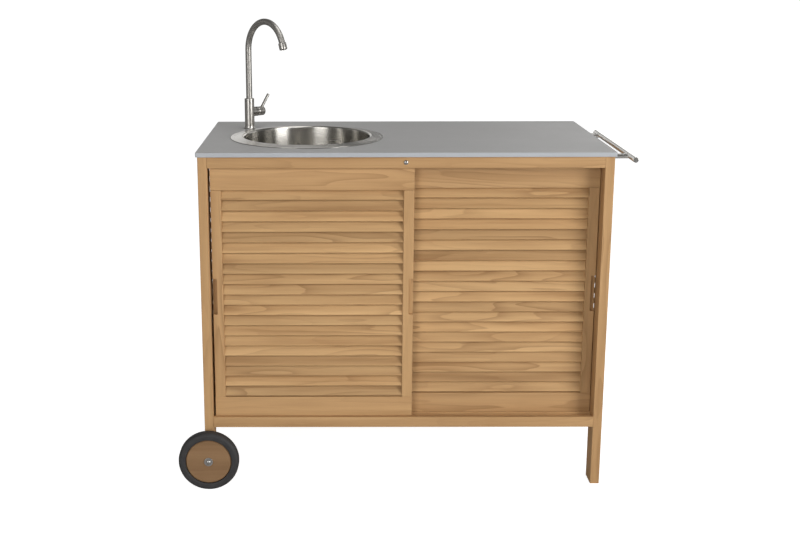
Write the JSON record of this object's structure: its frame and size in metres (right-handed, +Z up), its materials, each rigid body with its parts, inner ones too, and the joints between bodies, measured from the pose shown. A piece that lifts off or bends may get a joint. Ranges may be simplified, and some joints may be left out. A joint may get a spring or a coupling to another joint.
{
  "type": "outdoor kitchen unit",
  "caption": "Wheeled wooden outdoor kitchen unit with louvred sliding doors, a stone-grey worktop, a round inset sink, a swivel tap and a push bar at one end.",
  "frame": {"origin": "on the floor under the middle of the worktop, which is also the bottom centre of the whole part", "axes": "+X to the user's right, towards the push bar; +Y to the back; +Z up; the user stands at -Y"},
  "size_m": [1.2315, 0.679, 1.255],
  "materials": {
    "teak_frame": "oiled",
    "teak_slats": "oiled",
    "wood_disc": "matt",
    "worktop_stone": "honed",
    "sink_steel": "brushed",
    "tap_steel": "satin",
    "bolt_steel": "plain",
    "black_rubber": "matt",
    "tyre_rubber": "matt",
    "white_nylon": "matt",
    "grey_plastic": "matt"
  },
  "bodies": {
    "cabinet": {"worktop": "worktop_stone", "post_front_left": "teak_frame", "post_front_right": "teak_frame", "post_rear_left": "teak_frame", "post_rear_right": "teak_frame", "head_rail": "teak_frame", "sill_rail": "teak_frame", "rear_top_rail": "teak_frame", "rear_bottom_rail": "teak_frame", "side_rails": "teak_frame", "left_side_slats": "teak_slats", "right_side_slats": "teak_slats", "back_mullion": "teak_frame", "back_slats": "teak_slats", "centre_bearer": "teak_frame", "floor_bearers": "teak_frame", "floor_boards": "teak_slats", "frame_bolts": "bolt_steel", "cross_nuts": "bolt_steel", "sink_bowl": "sink_steel", "sink_seal": "black_rubber", "sink_clips": "bolt_steel", "waste_body": "sink_steel", "waste_seals": "black_rubber", "waste_ring_nut": "grey_plastic", "waste_tail": "grey_plastic", "tap_body": "tap_steel", "tap_shank": "bolt_steel", "tap_back_nut": "bolt_steel", "tap_cartridge": "white_nylon", "axle_bolts": "bolt_steel", "axle_washers": "bolt_steel", "axle_nuts": "bolt_steel", "push_bar": "tap_steel", "bar_standoffs": "tap_steel"},
    "left_door": {"left_door_left_stile": "teak_frame", "left_door_right_stile": "teak_frame", "left_door_top_rail": "teak_frame", "left_door_bottom_rail": "teak_frame", "left_door_slats": "teak_slats", "left_door_glides": "white_nylon"},
    "right_door": {"right_door_left_stile": "teak_frame", "right_door_right_stile": "teak_frame", "right_door_top_rail": "teak_frame", "right_door_bottom_rail": "teak_frame", "right_door_slats": "teak_slats", "right_door_glides": "white_nylon"},
    "front_wheel": {"front_tyre": "tyre_rubber", "front_disc": "wood_disc", "front_bush": "white_nylon"},
    "rear_wheel": {"rear_tyre": "tyre_rubber", "rear_disc": "wood_disc", "rear_bush": "white_nylon"},
    "spout": {"tap_spout": "tap_steel", "tap_aerator": "tap_steel"},
    "valve": {"tap_spindle": "bolt_steel"},
    "lever": {"tap_lever_cap": "tap_steel", "tap_lever_pin": "tap_steel", "tap_cross_pin": "bolt_steel"},
    "strainer": {"strainer_basket": "sink_steel"}
  },
  "joints": [
    {"name": "left_door_slide", "type": "slide", "parent": "cabinet", "child": "left_door", "axis": [1, 0, 0], "range_m": [-0.005, 0.496]},
    {"name": "right_door_slide", "type": "slide", "parent": "cabinet", "child": "right_door", "axis": [1, 0, 0], "range_m": [-0.4995, 0.0015]},
    {"name": "front_wheel_turn", "type": "hinge", "parent": "cabinet", "child": "front_wheel", "pos_m": [-0.5325, -0.32, 0.0825], "axis": [0, 1, 0], "continuous": true},
    {"name": "rear_wheel_turn", "type": "hinge", "parent": "cabinet", "child": "rear_wheel", "pos_m": [-0.5325, 0.32, 0.0825], "axis": [0, 1, 0], "continuous": true},
    {"name": "spout_swivel", "type": "hinge", "parent": "cabinet", "child": "spout", "pos_m": [-0.43994, 0.14607, 1.008], "axis": [0, 0, 1], "range_deg": [-180, 180]},
    {"name": "valve_turn", "type": "hinge", "parent": "cabinet", "child": "valve", "pos_m": [-0.41617, 0.16673, 0.9795], "axis": [0.7547, 0.6561, 0], "range_deg": [-45, 45]},
    {"name": "lever_lift", "type": "hinge", "parent": "valve", "child": "lever", "pos_m": [-0.41617, 0.16673, 0.9795], "axis": [-0.6561, 0.7547, 0], "range_deg": [0, 22]},
    {"name": "strainer_lift", "type": "slide", "parent": "cabinet", "child": "strainer", "axis": [0, 0, 1], "range_m": [0, 0.2]}
  ]
}
